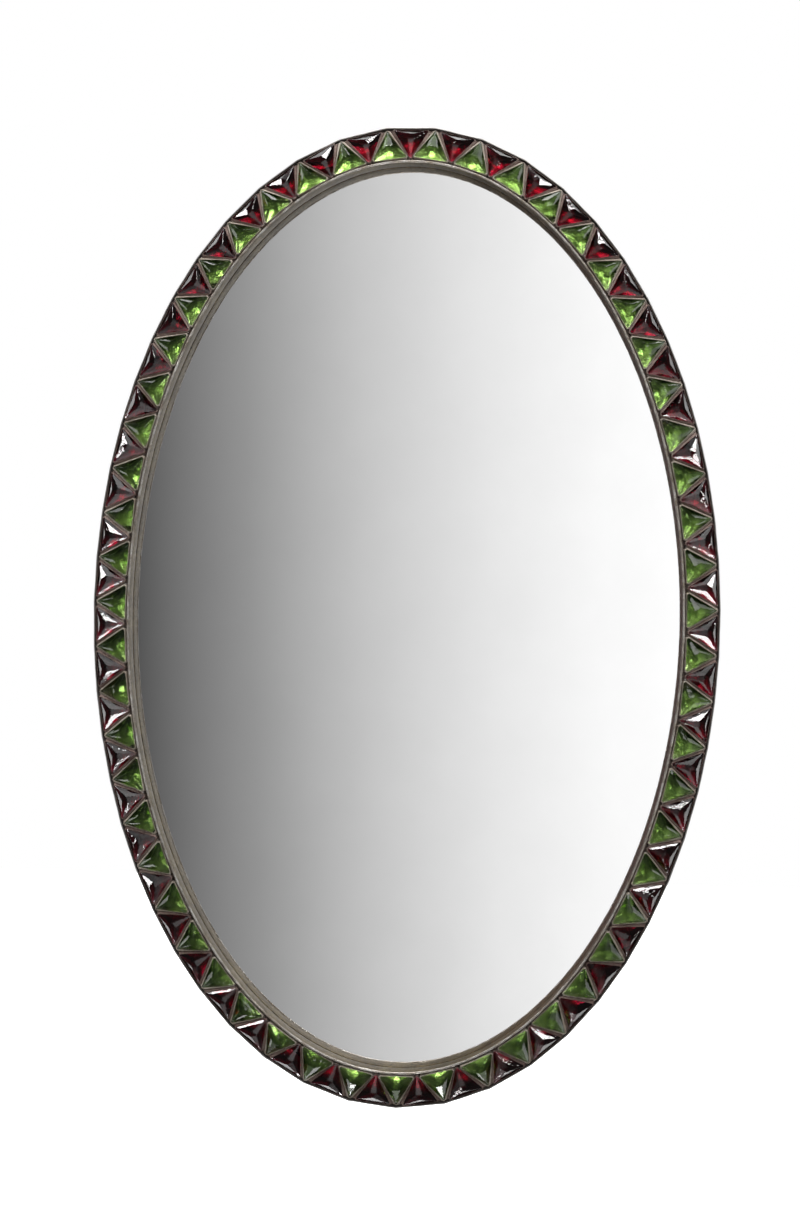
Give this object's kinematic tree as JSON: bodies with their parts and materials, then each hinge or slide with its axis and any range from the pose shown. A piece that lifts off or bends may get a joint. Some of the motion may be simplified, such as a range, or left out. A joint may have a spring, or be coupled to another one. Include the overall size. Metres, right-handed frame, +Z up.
{
  "type": "wall mirror",
  "caption": "Oval wall mirror in a metal frame set with a ring of red and green triangular cut-glass jewels, with a turn-button back and swinging hanger rings.",
  "frame": {"origin": "on the wall plane, where the pads touch the wall, behind the middle of the oval", "axes": "+Z up, +X to the right as the mirror is looked at, and +Y into the wall, so the mirror faces -Y"},
  "size_m": [0.5118, 0.0356, 0.7988],
  "materials": {
    "core_wood": "matt, planed",
    "band_metal": "aged, satin",
    "inner_metal": "aged, satin",
    "bead_metal": "aged, soldered",
    "bezel_metal": "aged, soldered, pitted",
    "bedding": "matt",
    "foil": "bright",
    "green_glass": "cut and polished",
    "red_glass": "cut and polished",
    "mirror": "silvered",
    "felt": "felt",
    "pad_felt": "felt",
    "card": "matt",
    "board": "hardboard, smooth",
    "button_brass": "stamped",
    "hanger_steel": "zinc plated"
  },
  "bodies": {
    "frame": {"core_ring": "core_wood", "base_ring": "band_metal", "bed_ring": "bedding", "outer_band": "band_metal", "inner_band": "inner_metal", "sight_bead": "bead_metal", "green_foils": "foil", "red_foils": "foil", "bezels_01": "bezel_metal", "bezels_02": "bezel_metal", "bezels_03": "bezel_metal", "bezels_04": "bezel_metal", "bezels_05": "bezel_metal", "bezels_06": "bezel_metal", "bezels_07": "bezel_metal", "bezels_08": "bezel_metal", "bezels_09": "bezel_metal", "bezels_10": "bezel_metal", "bezels_11": "bezel_metal", "green_stones_01": "green_glass", "green_stones_02": "green_glass", "green_stones_03": "green_glass", "green_stones_04": "green_glass", "green_stones_05": "green_glass", "green_stones_06": "green_glass", "green_stones_07": "green_glass", "green_stones_08": "green_glass", "green_stones_09": "green_glass", "green_stones_10": "green_glass", "green_stones_11": "green_glass", "red_stones_01": "red_glass", "red_stones_02": "red_glass", "red_stones_03": "red_glass", "red_stones_04": "red_glass", "red_stones_05": "red_glass", "red_stones_06": "red_glass", "red_stones_07": "red_glass", "red_stones_08": "red_glass", "red_stones_09": "red_glass", "red_stones_10": "red_glass", "red_stones_11": "red_glass", "mirror_felt": "felt", "mirror_plate": "mirror", "mirror_card": "card", "backing_board": "board", "turn_button_screws": "button_brass", "hanger_strap_right": "hanger_steel", "hanger_strap_left": "hanger_steel", "hanger_screws": "hanger_steel", "wall_pads": "pad_felt"},
    "button_1": {"turn_button_1": "button_brass"},
    "button_2": {"turn_button_2": "button_brass"},
    "button_3": {"turn_button_3": "button_brass"},
    "button_4": {"turn_button_4": "button_brass"},
    "button_5": {"turn_button_5": "button_brass"},
    "button_6": {"turn_button_6": "button_brass"},
    "ring_right": {"hanger_ring_right": "hanger_steel"},
    "ring_left": {"hanger_ring_left": "hanger_steel"}
  },
  "joints": [
    {"name": "button_1_turn", "type": "hinge", "parent": "frame", "child": "button_1", "pos_m": [0.10043, -0.00415, 0.35187], "axis": [0, 1, 0], "continuous": true},
    {"name": "button_2_turn", "type": "hinge", "parent": "frame", "child": "button_2", "pos_m": [0.24282, -0.00415, 0], "axis": [0, 1, 0], "continuous": true},
    {"name": "button_3_turn", "type": "hinge", "parent": "frame", "child": "button_3", "pos_m": [0.10043, -0.00415, -0.35187], "axis": [0, 1, 0], "continuous": true},
    {"name": "button_4_turn", "type": "hinge", "parent": "frame", "child": "button_4", "pos_m": [-0.10043, -0.00415, -0.35187], "axis": [0, 1, 0], "continuous": true},
    {"name": "button_5_turn", "type": "hinge", "parent": "frame", "child": "button_5", "pos_m": [-0.24282, -0.00415, 0], "axis": [0, 1, 0], "continuous": true},
    {"name": "button_6_turn", "type": "hinge", "parent": "frame", "child": "button_6", "pos_m": [-0.10043, -0.00415, 0.35187], "axis": [0, 1, 0], "continuous": true},
    {"name": "ring_right_swing", "type": "hinge", "parent": "frame", "child": "ring_right", "pos_m": [0.2152, -0.0026, 0.1841], "axis": [-0.9467, 0, -0.3222], "range_deg": [0, 170]},
    {"name": "ring_left_swing", "type": "hinge", "parent": "frame", "child": "ring_left", "pos_m": [-0.2152, -0.0026, 0.1841], "axis": [-0.9467, 0, 0.3222], "range_deg": [0, 170]}
  ]
}
